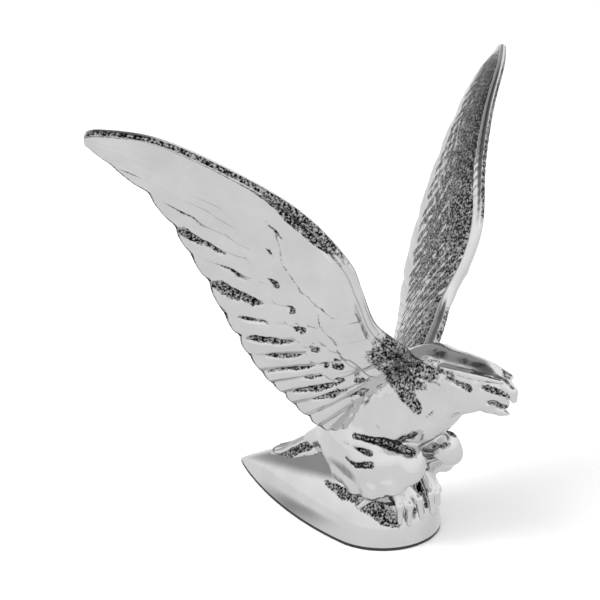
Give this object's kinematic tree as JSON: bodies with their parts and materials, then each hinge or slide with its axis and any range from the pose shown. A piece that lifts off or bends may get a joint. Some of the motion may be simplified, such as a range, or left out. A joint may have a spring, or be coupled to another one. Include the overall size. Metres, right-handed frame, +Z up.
{
  "type": "hood ornament",
  "caption": "Chrome eagle hood ornament with raised wings on a hollow teardrop base, held to a hood panel by threaded studs, washers and nuts over a gasket.",
  "frame": {"origin": "midway between the two mounting studs, on the gasket face that lies on the hood", "axes": "+X forwards, towards the beak; +Y to the eagle's left; +Z up, away from the hood"},
  "size_m": [0.156, 0.2426, 0.221],
  "materials": {
    "chrome": "bright polished chrome plate on die-cast zinc",
    "rubber": "closed-cell foam rubber, matt",
    "zinc_steel": "zinc plated steel, satin",
    "black_steel": "black oxide alloy steel, satin"
  },
  "bodies": {
    "ornament": {"base_shell": "chrome", "base_gasket": "rubber", "stud_front": "zinc_steel", "stud_rear": "zinc_steel", "eagle_body": "chrome", "tail_fan": "chrome", "wing_right": "chrome", "wing_left": "chrome", "leg_screw_right": "black_steel", "leg_screw_left": "black_steel", "leg_washer_right": "black_steel", "leg_washer_left": "black_steel", "wing_set_screw_right": "black_steel", "wing_set_screw_left": "black_steel", "wing_dowel_right": "black_steel", "wing_dowel_left": "black_steel", "tail_dowel": "black_steel"},
    "washers_front": {"flat_washer_front": "zinc_steel", "lock_washer_front": "zinc_steel"},
    "nut_front": {"hex_nut_front": "zinc_steel"},
    "washers_rear": {"flat_washer_rear": "zinc_steel", "lock_washer_rear": "zinc_steel"},
    "nut_rear": {"hex_nut_rear": "zinc_steel"}
  },
  "joints": [
    {"name": "washers_front_slide", "type": "slide", "parent": "ornament", "child": "washers_front", "axis": [0, 0, 1], "range_m": [-0.01524, 0.00508]},
    {"name": "nut_front_turn", "type": "hinge", "parent": "washers_front", "child": "nut_front", "pos_m": [0.0254, 0, -0.012], "axis": [0, 0, 1], "range_deg": [-4320, 1440]},
    {"name": "washers_rear_slide", "type": "slide", "parent": "ornament", "child": "washers_rear", "axis": [0, 0, 1], "range_m": [-0.01524, 0.00508]},
    {"name": "nut_rear_turn", "type": "hinge", "parent": "washers_rear", "child": "nut_rear", "pos_m": [-0.0254, 0, -0.012], "axis": [0, 0, 1], "range_deg": [-4320, 1440]}
  ],
  "couplings": [
    {"joint": "nut_front_turn", "follows": "washers_front_slide", "rad_per_m": 4947.4},
    {"joint": "nut_rear_turn", "follows": "washers_rear_slide", "rad_per_m": 4947.4}
  ]
}
